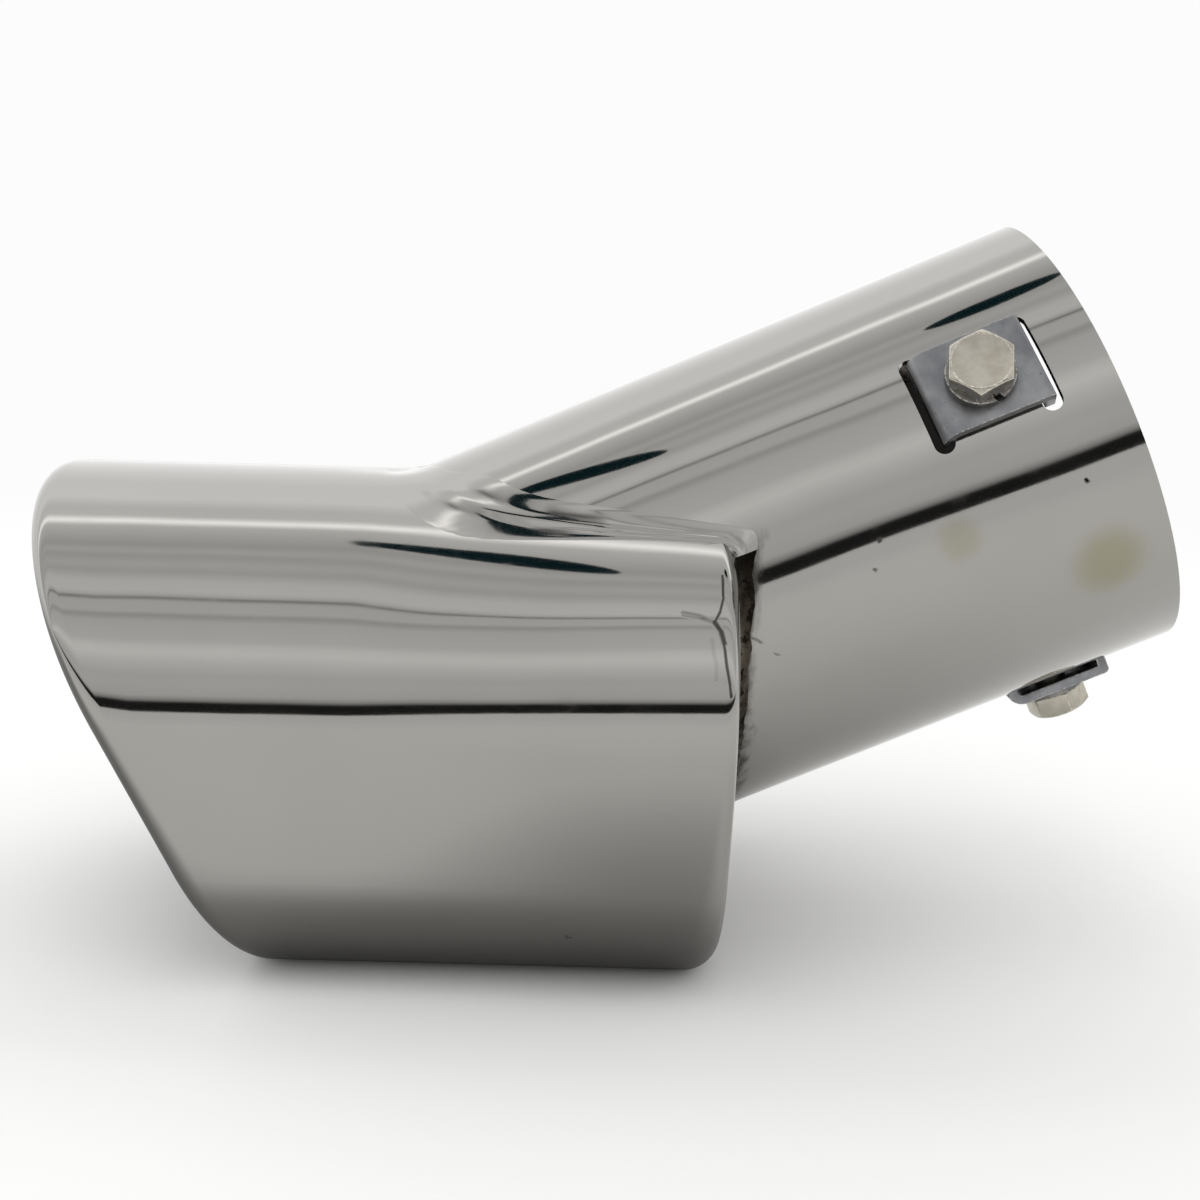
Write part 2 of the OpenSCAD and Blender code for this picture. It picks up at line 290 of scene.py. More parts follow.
class Graph:
    """The node tree of one material or of the world."""

    def __init__(self, tree: bpy.types.NodeTree) -> None:
        """Empties the tree."""
        self.tree = tree
        tree.nodes.clear()

    def add(self, kind: str, links: dict[Any, Any] | None = None,
            **settings: Any) -> bpy.types.Node:
        """Adds a node with its settings and links.

        Args:
            kind: the node's type name.
            links: for each input, an output socket to join or a value.
            **settings: attributes of the node.

        Returns:
            The new node.
        """
        node = self.tree.nodes.new(kind)
        for key, value in settings.items():
            setattr(node, key, value)
        for key, value in (links or {}).items():
            if isinstance(value, bpy.types.NodeSocket):
                self.tree.links.new(value, node.inputs[key])
            else:
                node.inputs[key].default_value = value
        return node

    def math(self, operation: str, *values: Any, clamp: bool = False) -> Any:
        """Adds a calculation and returns its result's socket."""
        node = self.add("ShaderNodeMath", dict(enumerate(values)),
                        operation=operation, use_clamp=clamp)
        return node.outputs[0]

    def vector(self, operation: str, links: dict[Any, Any]) -> bpy.types.Node:
        """Adds a calculation with vectors and returns its node."""
        return self.add("ShaderNodeVectorMath", links, operation=operation)

    def band(self, value: Any, low: float, high: float) -> Any:
        """Soft step of a value from 0 at low to 1 at high."""
        node = self.add("ShaderNodeMapRange",
                        {"Value": value, "From Min": low, "From Max": high},
                        interpolation_type="SMOOTHSTEP")
        return node.outputs[0]

    def blend(self, share: Any, first: Any, second: Any) -> Any:
        """Mixes two colours and returns the result's socket."""
        node = self.add("ShaderNodeMix", {0: share, 6: first, 7: second},
                        data_type="RGBA")
        return node.outputs[2]

    def grain(self, place: Any, scale: float, detail: float = 2.0,
              rough: float = 0.5) -> Any:
        """Adds a noise pattern and returns its value's socket."""
        node = self.add("ShaderNodeTexNoise",
                        {"Vector": place, "Scale": scale, "Detail": detail,
                         "Roughness": rough})
        return node.outputs[0]

    def finish_metal(self, look: "Look", bump: float) -> None:
        """Ends a metal's graph: bump sets how deep its heights are."""
        normal = self.add("ShaderNodeBump", {
            "Height": look.height, "Strength": 1.0, "Distance": bump})
        shader = self.add("ShaderNodeBsdfPrincipled", {
            "Base Color": look.colour, "Metallic": 1.0,
            "Roughness": look.rough, "Normal": normal.outputs[0]})
        self.add("ShaderNodeOutputMaterial", {0: shader.outputs[0]})


@dataclass
class Look:
    """What a finish has so far: its colour, its roughness and its height."""

    colour: Any
    rough: Any
    height: Any

    def darken(self, g: Graph, mask: Any, hex_colour: str,
               rougher: float) -> None:
        """Turns the colour to another and the sheet rougher where mask is."""
        self.colour = g.blend(mask, self.colour, linear(hex_colour))
        self.rough = g.math("MULTIPLY_ADD", mask, rougher, self.rough)


def blank_material(name: str) -> tuple[bpy.types.Material, Graph]:
    """Makes an empty material and its graph."""
    mat = bpy.data.materials.new(name)
    mat.use_nodes = True
    return mat, Graph(mat.node_tree)


@dataclass(frozen=True)
class Spot:
    """A round mark on the sheet, in millimetres, with its depth of colour."""

    at: Point
    radius: float
    strength: float = 1.0
    colour: str = "#17120E"


@dataclass(frozen=True)
class Line:
    """A fine crease or scratch through points, in millimetres."""

    points: tuple[Point, ...]
    width: float
    strength: float = 1.0


def crease_line(marks: Sequence[tuple[float, float]], width: float,
                strength: float) -> Line:
    """A line on the outlet's near side.

    Args:
        marks: distance from the rear wall and height above the ground.
        width: width of the line.
        strength: depth and darkness, up to 1.

    Returns:
        The line, laid flat on the plane Y = 0.
    """
    return Line(tuple((SIZES.rear_x + dx, 0.0, SIZES.ground + h)
                      for dx, h in marks), width, strength)


@dataclass(frozen=True)
class PolishedSteel:
    """Stainless sheet, buffed to a mirror, with the marks of its handling.

    The eye gets sharp, slightly bent reflections in a neutral grey, with
    fine streaks along the sheet, a few specks and some painted shade.
    """

    name: str
    streaks: Point = (0.05, 1.0, 1.0)
    spots: tuple[Spot, ...] = ()
    lines: tuple[Line, ...] = ()
    flat_lines: bool = False
    roughness: float = 0.055
    # seam turns on the painted shade beside the weld's ridge
    seam: bool = False
    inner_radius: float = 0.0
    stain_x: float = 0.0
    streak_mm: float = 0.8
    cloud_mm: float = 22.0
    smudge_mm: float = 9.0
    wave_mm: float = 30.0
    wave_depth: float = 0.16
    wander_mm: float = 1.4
    stain_drawn: float = 7.0
    stain_edge: tuple[float, float] = (1.4, -1.6)
    stain_height: tuple[float, float] = (13.0, 8.0)

    def make(self) -> bpy.types.Material:
        """Builds the material and returns it."""
        mat, g = blank_material(self.name)
        place = g.add("ShaderNodeTexCoord").outputs["Object"]
        look = self.sheet(g, place)
        self.add_spots(g, place, look)
        if self.lines:
            self.add_lines(g, place, look)
        if self.seam:
            self.add_ridge_shade(g, place, look)
        if self.stain_x:
            self.add_stain(g, place, look)
        if self.inner_radius:
            self.add_dull_shaded_bore(g, place, look)
        g.finish_metal(look, MM)
        return mat

    def sheet(self, g: Graph, place: Any) -> Look:
        """The bare buffed sheet: streaks, smudges and slow waves."""
        stretched = g.add("ShaderNodeMapping",
                          {"Vector": place, "Scale": self.streaks}).outputs[0]
        streak = g.grain(stretched, 1 / (self.streak_mm * MM), 3.0, 0.6)
        cloud = g.grain(place, 1 / (self.cloud_mm * MM), 2.0)
        colour = g.blend(cloud, linear("#A19F9B"), linear("#9B9995"))
        rough = g.math("MULTIPLY_ADD", streak, 0.05, self.roughness - 0.02)
        smudge = g.band(g.grain(place, 1 / (self.smudge_mm * MM), 4.0, 0.62),
                        0.56, 0.75)
        rough = g.math("MULTIPLY_ADD", smudge, 0.045, rough)
        waves = g.grain(place, 1 / (self.wave_mm * MM), 1.0)
        height = g.math("MULTIPLY", waves, self.wave_depth)
        height = g.math("MULTIPLY_ADD", streak, 0.0007, height)
        return Look(colour, rough, height)

    def add_spots(self, g: Graph, place: Any, look: Look) -> None:
        """Adds the round marks, with edges that wander a little."""
        wander = self.wander_mm * MM
        way = g.add("ShaderNodeTexNoise", {
            "Vector": place, "Scale": 1 / (1.6 * MM)}).outputs[1]
        warped = g.vector("MULTIPLY_ADD", {
            0: way, 1: (wander,) * 3, 2: place}).outputs[0]
        warped = g.vector("SUBTRACT",
                          {0: warped, 1: (wander / 2,) * 3}).outputs[0]
        for spot in self.spots:
            away = g.vector("DISTANCE", {
                0: warped, 1: Vector(spot.at) * MM}).outputs[1]
            mask = g.math("MULTIPLY", g.band(
                away, spot.radius * MM, spot.radius * 0.3 * MM), spot.strength)
            look.darken(g, mask, spot.colour, 0.12)

    def near_line(self, g: Graph, place: Any, line: Line) -> Any:
        """Adds the mask of a line: 1 on it, 0 beyond its width."""
        nearest = None
        for a, b in zip(line.points, line.points[1:]):
            start, run = Vector(a) * MM, (Vector(b) - Vector(a)) * MM
            off = g.vector("SUBTRACT", {0: place, 1: start}).outputs[0]
            share = g.vector("DOT_PRODUCT",
                             {0: off, 1: run / run.length_squared}).outputs[1]
            share = g.math("MULTIPLY", share, 1.0, clamp=True)
            foot = g.vector("SCALE", {0: run, 3: share}).outputs[0]
            away = g.vector("DISTANCE", {0: off, 1: foot}).outputs[1]
            nearest = (away if nearest is None
                       else g.math("MINIMUM", nearest, away))
        inside = g.band(nearest, line.width * MM, line.width * 0.25 * MM)
        return g.math("MULTIPLY", inside, line.strength)

    def add_lines(self, g: Graph, place: Any, look: Look) -> None:
        """Adds creases and scratches, flat ones on the near side alone."""
        gate = None
        if self.flat_lines:
            parts = g.add("ShaderNodeSeparateXYZ", {0: place}).outputs
            gate = g.math("LESS_THAN", parts[1], 0.0)
            place = g.vector("MULTIPLY", {0: place, 1: (1, 0, 1)}).outputs[0]
        cut = None
        for line in self.lines:
            mask = self.near_line(g, place, line)
            cut = mask if cut is None else g.math("MAXIMUM", cut, mask)
        if gate is not None:
            cut = g.math("MULTIPLY", cut, gate)
        # darker colour: painted shade in the creases, and the own colour of the
        # scratches and marks
        look.colour = g.blend(g.math("MULTIPLY", cut, 0.85), look.colour,
                              linear("#2A2724"))
        look.height = g.math("MULTIPLY_ADD", cut, -0.12, look.height)

    def add_ridge_shade(self, g: Graph, place: Any, look: Look) -> None:
        """Adds painted shade: dark, broken streaks beside the ridge."""
        ridge_flank_shade = g.add("ShaderNodeAttribute",
                      attribute_name="ridge_flank_shade").outputs["Fac"]
        broken = g.band(g.grain(place, 1 / (13 * MM), 1.0, 0.5), 0.46, 0.62)
        broken = g.math("MULTIPLY", broken, 0.8)
        soot_and_painted_shade = g.math("MULTIPLY", ridge_flank_shade, broken, clamp=True)
        # painted shade: dark streaks beside the ridge, colour darkened and
        # sheet rougher
        look.darken(g, soot_and_painted_shade, "#24211E", 0.25)
        look.height = g.math("MULTIPLY_ADD", soot_and_painted_shade, -0.03, look.height)

    def add_stain(self, g: Graph, place: Any, look: Look) -> None:
        """Adds heat and smears beside the rough bead, drawn out downwards."""
        across = g.add("ShaderNodeMapping", {
            "Vector": place, "Scale": (1.0, 1.0, 0.28)}).outputs[0]
        smear = g.grain(across, 1 / (2.6 * MM), 4.0, 0.65)
        x = g.add("ShaderNodeSeparateXYZ", {0: place}).outputs[0]
        x = g.math("MULTIPLY_ADD", smear, -self.stain_drawn * MM, x)
        clean, black = self.stain_edge
        soot_and_painted_shade = g.band(x, (self.stain_x + clean) * MM,
                      (self.stain_x + black) * MM)
        upward = SIZES.tube_point(0, 1, 0)
        over = g.vector("DOT_PRODUCT", {0: place, 1: upward}).outputs[1]
        clean, black = self.stain_height
        soot_and_painted_shade = g.math("MULTIPLY", soot_and_painted_shade, g.band(over, clean * MM, black * MM))
        look.colour = g.blend(g.math("MULTIPLY", soot_and_painted_shade, 0.85), look.colour,
                              linear("#2C2620"))
        look.rough = g.math("MULTIPLY_ADD", soot_and_painted_shade, 0.2, look.rough)

    def add_dull_shaded_bore(self, g: Graph, place: Any, look: Look) -> None:
        """Makes the bore dull, never buffed, and much darker with painted
        shade.
        """
        run = g.vector("DOT_PRODUCT", {0: place, 1: SIZES.axis}).outputs[1]
        foot = g.vector("SCALE", {0: SIZES.axis, 3: run}).outputs[0]
        off = g.vector("DISTANCE", {0: place, 1: foot}).outputs[1]
        inside = g.band(off, (self.inner_radius + 0.6) * MM,
                        (self.inner_radius + 0.2) * MM)
        # painted shade: the bore's colour is darkened; its rougher sheet is its
        # own
        look.darken(g, inside, "#3B3936", 0.3)


@dataclass(frozen=True)
class TarnishedSteel:
    """Steel that is not buffed: rolled, turned or melted, then left as it is.

    The eye gets a broad soft sheen, broken by darker scale and, on edges
    that rub, by brighter bare metal.
    """

    name: str
    light: str
    dark: str
    scale_colour: str
    edge_colour: str
    roughness: float
    cloud_mm: float
    speck_mm: float
    speck_share: float
    bump_mm: float
    stretch: Point = (1.0, 1.0, 1.0)

    def make(self) -> bpy.types.Material:
        """Builds the material and returns it."""
        mat, g = blank_material(self.name)
        place = g.add("ShaderNodeTexCoord").outputs["Object"]
        drawn = g.add("ShaderNodeMapping",
                      {"Vector": place, "Scale": self.stretch}).outputs[0]
        cloud = g.grain(drawn, 1 / (self.cloud_mm * MM), 4.0, 0.6)
        colour = g.blend(g.band(cloud, 0.3, 0.7), linear(self.dark),
                         linear(self.light))
        fine = g.grain(place, 1 / (self.speck_mm * MM), 3.0, 0.7)
        speck = g.band(fine, 1 - self.speck_share, 1.1 - self.speck_share)
        colour = g.blend(speck, colour, linear(self.scale_colour))
        worn = g.add("ShaderNodeAttribute",
                     attribute_name="worn").outputs["Fac"]
        worn = g.math("MULTIPLY", worn, g.band(fine, 0.42, 0.62))
        black = g.add("ShaderNodeAttribute",
                      attribute_name="soot_and_painted_shade").outputs["Fac"]
        colour = g.blend(black, colour, linear(self.scale_colour))
        colour = g.blend(worn, colour, linear(self.edge_colour))
        rough = g.math("MULTIPLY_ADD", cloud, 0.16, self.roughness - 0.08)
        rough = g.math("MULTIPLY_ADD", worn, -0.12, rough)
        height = g.math("MULTIPLY_ADD", fine, 0.5, cloud)
        g.finish_metal(Look(colour, rough, height), self.bump_mm * MM)
        return mat


OUTLET_SPECKS = tuple(
    Spot((x, y, z), r, 0.9) for x, y, z, r in (
        (-127.5, -46.0, -60.2, 0.7), (-122.7, -47.0, -63.4, 0.6),
        (-91.2, -47.0, -81.4, 0.7), (-70.8, -54.6, -54.8, 0.6),
        (-85.3, -52.6, -54.8, 0.6)))
# creases on the outlet's near side; their dark colour is painted shade
CREASE = (
    crease_line(((-2.7, 72.4), (-2.7, 69.6), (-3.3, 67.6), (-4.1, 66.3)),
                0.3, 1.0),
    crease_line(((-9.0, 67.1), (-6.5, 66.8), (-4.2, 66.1)), 0.5, 0.4),
    crease_line(((-4.2, 66.2), (-3.2, 65.0), (-2.7, 63.4)), 0.6, 1.0),
    crease_line(((-4.1, 66.3), (-3.1, 64.8), (-2.6, 62.4), (-2.3, 60.0),
                 (-1.8, 57.4), (-1.6, 55.5)), 0.34, 1.0),
    crease_line(((-4.6, 63.8), (-3.9, 59.9), (-3.9, 57.9)), 0.5, 0.16))
TUBE_STAINS = (
    Spot((-29.3, -40.0, -15.0), 5.0, 0.5, "#8E8A74"),
    Spot((-3.9, -37.1, -18.1), 8.5, 0.6, "#8A8668"),
    Spot((-9.6, -40.0, -4.9), 0.65), Spot((-42.2, -39.9, -15.4), 0.7, 0.7),
    Spot((-42.6, -40.0, -20.3), 0.6, 0.7))
TUBE_SCRATCHES = (
    Line(((-62.6, -39.6, -31.8), (-60.0, -39.8, -33.2)), 0.3, 0.5),
    Line(((-58.8, -39.0, -34.6), (-56.6, -39.2, -35.4)), 0.25, 0.4))

VALLEY_MARKS = (
    Line(((-104.2, -21.3, -9.0), (-100.4, -23.4, -8.8), (-96.5, -25.0, -8.4)),
         1.0, 0.8),)

OUTLET_FINISH = PolishedSteel("buffed_stainless_outlet", (0.06, 1.0, 1.0),
                              OUTLET_SPECKS, CREASE, True)
TUBE_FINISH = PolishedSteel("buffed_stainless_tube", (0.08, 1.0, 0.3),
                            TUBE_STAINS, TUBE_SCRATCHES,
                            inner_radius=SIZES.tube_r - SIZES.wall,
                            stain_x=SIZES.rear_x)
VALLEY_FINISH = PolishedSteel("buffed_stainless_ground_weld",
                              (1.0, 0.4, 1.0), lines=VALLEY_MARKS,
                              roughness=0.07, seam=True)
# TIG bead left as welded: brown and black heat tint with straw patches
BEAD_FINISH = TarnishedSteel(
    "heat_tinted_weld_bead", "#857E71", "#3E362D", "#15120F", "#A39684",
    0.28, 3.0, 1.4, 0.5, 0.05, (1.0, 1.0, 0.3))
# hot-rolled strip: blue-grey mill scale with dark pits and bare edges
CLIP_FINISH = TarnishedSteel(
    "rolled_steel_strip", "#8E8F91", "#737477", "#29292B", "#A9A8A6",
    0.33, 6.0, 0.8, 0.34, 0.03, (1.0, 0.35, 1.0))
# turned stainless: warm grey with a soft sheen from the tool
BOLT_FINISH = TarnishedSteel(
    "turned_stainless_bolt", "#B9B4A8", "#A7A195", "#5D574C", "#CFCBC1",
    0.2, 3.0, 0.5, 0.27, 0.015)
WASHER_FINISH = TarnishedSteel(
    "spring_steel_washer", "#8C8A86", "#6C6A67", "#3A3734", "#B0ADA7",
    0.36, 2.4, 0.6, 0.3, 0.02)


def finished(name: str, bm: bmesh.types.BMesh, material: bpy.types.Material,
             scale: float = MM) -> bpy.types.Object:
    """Turns a bmesh into a shown object.

    Args:
        name: the piece's name.
        bm: its mesh, freed here.
        material: its finish.
        scale: factor from the mesh's unit to metres.

    Returns:
        The object, at the origin.
    """
    bmesh.ops.scale(bm, vec=(scale,) * 3, verts=bm.verts)
    for face in bm.faces:
        face.smooth = True
    mesh = bpy.data.meshes.new(name)
    bm.to_mesh(mesh)
    bm.free()
    mesh.materials.append(material)
    obj = bpy.data.objects.new(name, mesh)
    bpy.context.scene.collection.objects.link(obj)
    return obj


def bake_modifiers(obj: bpy.types.Object) -> None:
    """Replaces an object's mesh by what its modifiers make of it."""
    graph = bpy.context.evaluated_depsgraph_get()
    mesh = bpy.data.meshes.new_from_object(
        obj.evaluated_get(graph), preserve_all_data_layers=True,
        depsgraph=graph)
    obj.modifiers.clear()
    obj.data = mesh


def grid_through(columns: int, rows: int,
                 place: Callable[[int, int], Vector]) -> bmesh.types.BMesh:
    """A sheet of quads through worked-out places.

    Args:
        columns: number of faces across.
        rows: number of faces along.
        place: gives the point of column i and row j.

    Returns:
        The sheet, with equal points merged.
    """
    bm = bmesh.new()
    bmesh.ops.create_grid(bm, x_segments=columns, y_segments=rows, size=1.0)
    for vert in bm.verts:
        i = round((vert.co.x + 1) / 2 * columns)
        j = round((vert.co.y + 1) / 2 * rows)
        vert.co = place(i, j)
    bmesh.ops.remove_doubles(bm, verts=bm.verts, dist=0.002)
    return bm


@dataclass
class OutletShell:
    """The oval outlet: one sheet from the rolled lip to the rear wall."""

    sizes: TipSizes = SIZES
    lip_rows: int = 22
    straight_rows: int = 8
    body_rows: int = 34
    rear_rows: int = 10
    support: float = 0.3
    hole_sides: int = 240
    sharp: float = math.radians(50)
    tree: BVHTree | None = field(default=None, init=False)

    def rows(self) -> list[Row]:
        """Places of the loft's rows, from the lip's inner end to the rear."""
        z = self.sizes
        slant = math.cos(z.mouth_slant)

        def lip(a: float) -> Row:
            """Row at angle a around the rolled lip."""
            inset = z.lip_r * (1 - math.cos(a))
            behind = z.lip_r * (1 - math.sin(a)) / slant
            return lambda q: z.sheet_point(q, inset, z.mouth_x(
                q[1] - inset * math.sin(math.radians(q[2]))) + behind)

        def straight(t: float) -> Row:
            """Row at share t of the way from the lip to the swelling."""
            return lambda q: z.sheet_point(q, 0, between(
                z.mouth_x(q[1]) + z.lip_r / slant, z.swell_start_x, t))

        def body(t: float) -> Row:
            """Row at share t of the swelling and the flare."""
            return lambda q: z.sheet_point(q, 0, between(
                z.swell_start_x, z.rear_x - z.edge_radius(q), t))

        def rear(a: float, more: float = 0.0) -> Row:
            """Row at angle a around the rear edge, moved in by more."""
            return lambda q: z.sheet_point(
                q, z.edge_radius(q) * (1 - math.sin(a)) + more,
                z.rear_x - z.edge_radius(q) * (1 - math.cos(a)))

        made = [lip(math.pi * (1 - i / self.lip_rows))
                for i in range(self.lip_rows + 1)]
        made += [straight(i / self.straight_rows)
                 for i in range(1, self.straight_rows + 1)]
        made += [body(i / self.body_rows) for i in range(1, self.body_rows + 1)]
        made += [rear(math.pi / 2 * (1 - i / self.rear_rows))
                 for i in range(1, self.rear_rows + 1)]
        made.append(rear(0.0, self.support))
        return made

    def skin(self) -> bmesh.types.BMesh:
        """The outer surface, open at the mouth."""
        rows, outline = self.rows(), self.sizes.outline()
        count = len(outline)
        bm = grid_through(count, len(rows) - 1,
                          lambda i, j: rows[j](outline[i % count]))
        last = max(v.co.x for v in bm.verts)
        rim = [e for e in bm.edges if e.is_boundary
               and min(v.co.x for v in e.verts) > last - 0.01]
        bmesh.ops.edgeloop_fill(bm, edges=rim)
        bmesh.ops.recalc_face_normals(bm, faces=bm.faces)
        top = max(bm.faces, key=lambda f: f.calc_center_median().z)
        top.normal_update()
        if top.normal.z < 0:
            bmesh.ops.reverse_faces(bm, faces=bm.faces)
        return bm

    def build(self, material: bpy.types.Material) -> bpy.types.Object:
        """Makes the shell with its wall and the hole for the tube."""
        z = self.sizes
        bm = self.skin()
        self.tree = BVHTree.FromBMesh(bm)
        whole = finished("outlet_whole", bm, material)
        wall = whole.modifiers.new("wall", "SOLIDIFY")
        wall.thickness = z.wall * MM
        wall.offset = -1
        wall.use_even_offset = True
        bake_modifiers(whole)
        whole.data.set_sharp_from_angle(angle=self.sharp)
        cutter_bm = bmesh.new()
        depth = z.tube_meet + z.hole_reach
        hole_r = z.tube_r + z.joint_gap
        bmesh.ops.create_cone(
            cutter_bm, cap_ends=True, segments=self.hole_sides, depth=depth,
            radius1=hole_r, radius2=hole_r)
        turn = Vector((0, 0, 1)).rotation_difference(z.axis).to_matrix()
        bmesh.ops.rotate(cutter_bm, matrix=turn, verts=cutter_bm.verts)
        bmesh.ops.translate(cutter_bm, vec=-z.axis * depth / 2,
                            verts=cutter_bm.verts)
        cutter = finished("tube_hole", cutter_bm, material)
        shell = whole.copy()
        shell.data = whole.data.copy()
        shell.name = "oval_outlet"
        bpy.context.scene.collection.objects.link(shell)
        cut = shell.modifiers.new("hole", "BOOLEAN")
        cut.operation = "DIFFERENCE"
        cut.solver = "EXACT"
        cut.object = cutter
        bake_modifiers(shell)
        shade = shell.modifiers.new("shade", "DATA_TRANSFER")
        shade.object = whole
        shade.use_loop_data = True
        shade.data_types_loops = {"CUSTOM_NORMAL"}
        shade.loop_mapping = "POLYINTERP_NEAREST"
        bake_modifiers(shell)
        for helper in (whole, cutter):
            bpy.data.objects.remove(helper)
        return shell

    def foot(self, r: float, a: float) -> float:
        """Where the line along the tube at (r, a) enters the outlet."""
        start = 20.0
        hit = self.tree.ray_cast(self.sizes.tube_point(start, r, a),
                                 -self.sizes.axis)
        if hit[0] is None:
            raise ValueError(f"no foot at radius {r}, angle {a}")
        return start + hit[3]


@dataclass
class InletTube:
    """The round tube with its slots, from the solid, shaded as a true round."""

    sizes: TipSizes = SIZES
    round_within: float = math.cos(math.radians(12))
    sharp: float = math.radians(30)

    def build(self, node: bpy.types.Object,
              material: bpy.types.Material) -> bpy.types.Object:
        """Makes the tube from its node with normals worked out for a round."""
        bm = bmesh.new()
        bm.from_mesh(node.data)
        bmesh.ops.remove_doubles(bm, verts=bm.verts, dist=MERGE)
        tube = finished("inlet_pipe", bm, material, 1.0)
        mesh = tube.data
        axis = self.sizes.axis
        mesh.set_sharp_from_angle(angle=self.sharp)
        corner = [Vector(n.vector) for n in mesh.corner_normals]
        for face in mesh.polygons:
            centre = face.center - axis * face.center.dot(axis)
            out = centre.normalized()
            if abs(out.dot(face.normal)) < self.round_within:
                continue
            way = 1 if out.dot(face.normal) > 0 else -1
            for loop in face.loop_indices:
                co = mesh.vertices[mesh.loops[loop].vertex_index].co
                corner[loop] = (co - axis * co.dot(axis)).normalized() * way
        mesh.normals_split_custom_set(corner)
        return tube


@dataclass
class TubeWeld:
    """The weld where the tube leaves the outlet.

    Over the crown it is ground to a smooth valley with one fine ridge. On
    the rear wall it is a rough bead.
    """

    outlet: OutletShell
    sizes: TipSizes = SIZES
    ground_leg: float = 5.4
    ground_rise: float = 2.3
    rough_leg: float = 3.3
    rough_rise: float = 1.9
    ground_end: float = math.radians(77)
    step: float = math.radians(0.7)
    rows: int = 16
    ridge: float = 0.24
    soot_end: float = math.radians(30)
    drawn_leg: float = 6.5
    drawn_from: float = math.radians(12)
    drawn_to: float = math.radians(72)
    draws_in: float = math.radians(20)
    fades_in: float = math.radians(24)
    sunk: float = 0.12
    tucked: float = 0.25
    crest: float = 0.55
    crest_shift: float = 0.15
    crest_width: float = 0.06
    crest_lean: float = 0.75
    ridge_from: float = math.radians(17)
    ridge_run: float = math.radians(14)
    # place and width of the painted shade beside the ridge
    flank_shade_off: float = 0.16
    flank_shade_width: float = 0.05
    rough_cosine: float = 0.12
    mixed_cosine: float = 0.25
    coarse: float = 9.0
    fine: float = 26.0
    leg_coarse: float = 0.22
    leg_fine: float = 0.08
    rise_fine: float = 0.12
    full: float = 0.22
    full_fine: float = 0.08

    def ground_share(self, a: float) -> float:
        """How much of the weld is ground at angle a from the tube's top."""
        return smooth((math.cos(a) - self.rough_cosine) / self.mixed_cosine)

    @staticmethod
    def ripple(a: float, count: float, phase: float) -> float:
        """Noise that runs around the tube at a fineness of count."""
        return noise.noise(Vector((math.cos(a) * count,
                                   math.sin(a) * count, phase)))

    def drawn(self, a: float) -> float:
        """How far the ground face is drawn out over the tube at angle a."""
        turn = abs(math.remainder(a, 2 * math.pi))
        return (smooth((turn - self.drawn_from) / self.draws_in)
                * smooth((self.drawn_to - turn) / self.fades_in))

    def section(self, a: float, t: float) -> Vector:
        """A point of the weld's face.

        Args:
            a: angle from the tube's top.
            t: 0 on the tube, 1 on the outlet.

        Returns:
            The point, just below the surface at both ends.
        """
        z = self.sizes
        share = self.ground_share(a)
        rough = 1 - share
        wave = self.ripple(a, self.coarse, 0.3)
        fine = self.ripple(a, self.fine, t * 2)
        ground_leg = self.ground_leg + self.drawn_leg * self.drawn(a)
        leg = (share * ground_leg + rough * self.rough_leg
               * (1 + self.leg_coarse * wave + self.leg_fine * fine))
        rise = (share * self.ground_rise + rough * self.rough_rise
                * (1 + self.rise_fine * fine))
        r0 = z.tube_r
        s0 = self.outlet.foot(r0 + z.joint_gap, a)
        s1 = self.outlet.foot(r0 + rise, a)
        full = rough * (self.full + self.full_fine * fine)
        u = 1 - t
        s = (u * u * (s0 - leg) + 2 * u * t * (s0 - full * leg) + t * t * s1)
        r = u * u * r0 + 2 * u * t * (r0 + full * rise) + t * t * (r0 + rise)
        if t == 0:
            r -= self.sunk
        if t == 1:
            s += self.tucked
        crest = self.ridge_share(a) * math.exp(
            -((t - self.crest_at(a)) / self.crest_width) ** 2)
        return z.tube_point(s - self.crest_lean * crest * self.ridge,
                            r + crest * self.ridge, a)

    def crest_at(self, a: float) -> float:
        """Where the fine ridge runs across the face at angle a."""
        return self.crest - self.crest_shift * self.drawn(a)

    def turn_of(self, point: Vector) -> float:
        """Angle from the tube's top at which a point lies, up to 90."""
        axis = self.sizes.axis
        off = point - axis * point.dot(axis)
        top = self.sizes.tube_point(0, 1, 0)
        return math.acos(clamp01(off.normalized().dot(top)))

    def ridge_share(self, a: float) -> float:
        """How far the fine ridge stands out at angle a."""
        grown = smooth((abs(a) - self.ridge_from) / self.ridge_run)
        return grown * self.ground_share(a)

    def build(self, side: Side, material: bpy.types.Material
              ) -> bpy.types.Object:
        """Makes one stretch of the weld."""
        if side is Side.GROUND:
            low, high = -self.ground_end, self.ground_end
            name = "ground_weld_valley"
        else:
            low = self.ground_end
            high = 2 * math.pi - low
            name = "rough_weld_bead"
        columns = round((high - low) / self.step)
        marks: dict[tuple[float, float, float], float] = {}

        def place(i: int, j: int) -> Vector:
            """Point of column i and row j, noting its painted shade by the
            ridge.
            """
            a, t = low + (high - low) * i / columns, j / self.rows
            point = self.section(a, t)
            off = t - self.crest_at(a)
            # painted shade on either side of the ridge
            soot_and_painted_shade = sum(math.exp(-((off + side * self.flank_shade_off)
                                  / self.flank_shade_width) ** 2)
                       for side in (1, -1))
            marks[tuple(round(c, 3) for c in point)] = (
                soot_and_painted_shade * self.ridge_share(a))
            return point

